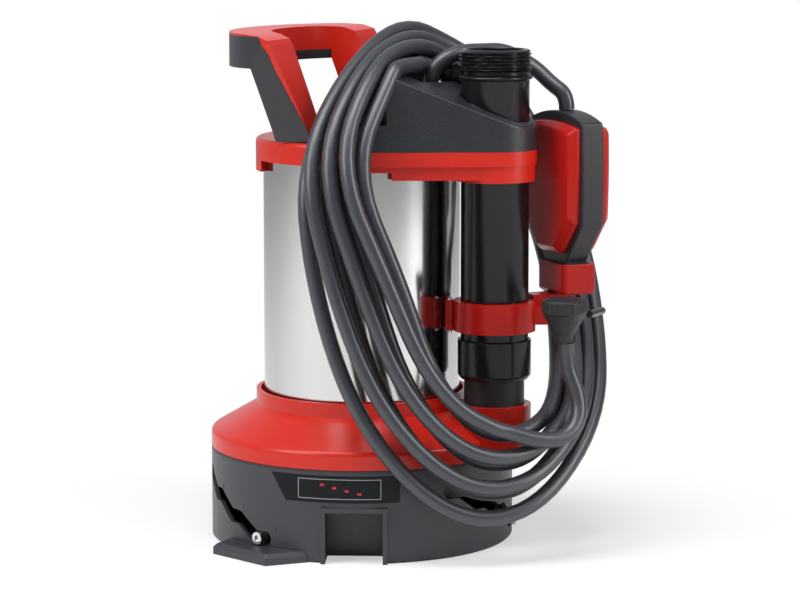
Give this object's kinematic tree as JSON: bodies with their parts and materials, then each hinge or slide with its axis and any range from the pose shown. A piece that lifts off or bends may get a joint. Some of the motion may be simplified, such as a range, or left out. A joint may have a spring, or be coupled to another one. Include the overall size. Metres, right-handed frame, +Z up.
{
  "type": "submersible sump pump",
  "caption": "Submersible sump pump with a steel motor shell, red caps, bail handle, side riser pipe, height-adjusting base, held float switch and a hank of cord.",
  "frame": {"origin": "pump axis at the level of the base's underside", "axes": "+Z up along the pump axis, +X from the pump axis to the riser pipe's axis, -Y towards the foot pedal's side"},
  "size_m": [0.2775, 0.248, 0.3519],
  "materials": {
    "black_shell": "fine-grained moulded black plastic",
    "dark_inner_plastic": "glass-filled dark grey plastic",
    "bright_screws": "bright stainless screws and pins",
    "red_shell": "satin red moulded plastic",
    "black_textured": "coarse-grained black plastic",
    "brushed_shell": "drawn stainless steel with a fine vertical sheen",
    "gaskets": "soft black rubber",
    "bridge_metal": "die-cast aluminium",
    "bearing_steel": "ground steel",
    "core_laminations": "varnished sheet laminations",
    "copper_winding": "enamelled copper wire",
    "seal_face": "ceramic and rubber face seal",
    "capacitor_case": "pale plastic can",
    "terminal_white": "pale terminal block",
    "black_pipe": "satin black pipe plastic",
    "red_clamp": "smooth red plastic",
    "red_float": "smooth red float shells",
    "black_band": "fine-grained black band",
    "switch_case": "pale switch case",
    "cord_rubber": "satin black cord sheath",
    "black_fitting": "black moulded fittings",
    "pin_brass": "nickel-plated brass pins"
  },
  "bodies": {
    "base": {"base_shell": "black_shell", "foot_pedal": "black_shell"},
    "guide": {"guide_ring": "dark_inner_plastic"},
    "pump": {"lift_ring": "dark_inner_plastic", "guide_screws": "bright_screws", "intake_plate": "dark_inner_plastic", "volute_housing": "dark_inner_plastic", "motor_neck": "dark_inner_plastic", "dome_cover": "red_shell", "motor_shell": "brushed_shell", "lower_gasket": "gaskets", "upper_gasket": "gaskets", "lower_bridge": "bridge_metal", "upper_bridge": "bridge_metal", "lower_bearing": "bearing_steel", "upper_bearing": "bearing_steel", "stator_core": "core_laminations", "stator_winding": "copper_winding", "shaft_seal": "seal_face", "run_capacitor": "capacitor_case", "terminal_block": "terminal_white", "head_cap": "red_shell", "head_cover": "black_textured", "handle_core": "red_shell", "handle_grip": "black_textured", "lower_riser": "dark_inner_plastic", "coupling_sleeve": "black_pipe", "riser_pipe": "black_pipe", "clamp_rear": "red_clamp", "clamp_pin": "bright_screws", "float_cup": "red_clamp", "float_gland": "black_fitting", "mains_strain_relief": "cord_rubber", "float_cord": "cord_rubber", "mains_lead": "cord_rubber", "mains_coil": "cord_rubber", "plug_lead": "cord_rubber", "mains_plug": "black_fitting", "plug_pins": "pin_brass"},
    "rotor": {"motor_shaft": "bearing_steel", "rotor_core": "core_laminations", "impeller": "dark_inner_plastic", "impeller_nut": "bright_screws"},
    "clamp": {"clamp_front": "red_clamp"},
    "float": {"float_band": "black_band", "float_shell_left": "red_float", "float_shell_right": "red_float", "float_switch": "switch_case", "float_cord_drop": "cord_rubber"}
  },
  "joints": [
    {"name": "height_turn", "type": "hinge", "parent": "base", "child": "guide", "pos_m": [0, 0, 0.06], "axis": [0, 0, 1], "range_deg": [-42, 0]},
    {"name": "height_lift", "type": "slide", "parent": "guide", "child": "pump", "axis": [0, 0, 1], "range_m": [0, 0.0315]},
    {"name": "rotor_spin", "type": "hinge", "parent": "pump", "child": "rotor", "pos_m": [0, 0, 0.1], "axis": [0, 0, 1], "continuous": true},
    {"name": "clamp_open", "type": "hinge", "parent": "pump", "child": "clamp", "pos_m": [0.07067, -0.0127, 0.155], "axis": [0, 0, 1], "range_deg": [-50, 0]},
    {"name": "float_lift", "type": "slide", "parent": "pump", "child": "float", "axis": [0, 0, 1], "range_m": [0, 0.012], "deforming": ["float_cord_drop"]}
  ],
  "couplings": [
    {"joint": "height_turn", "follows": "height_lift", "rad_per_m": -23.271}
  ]
}
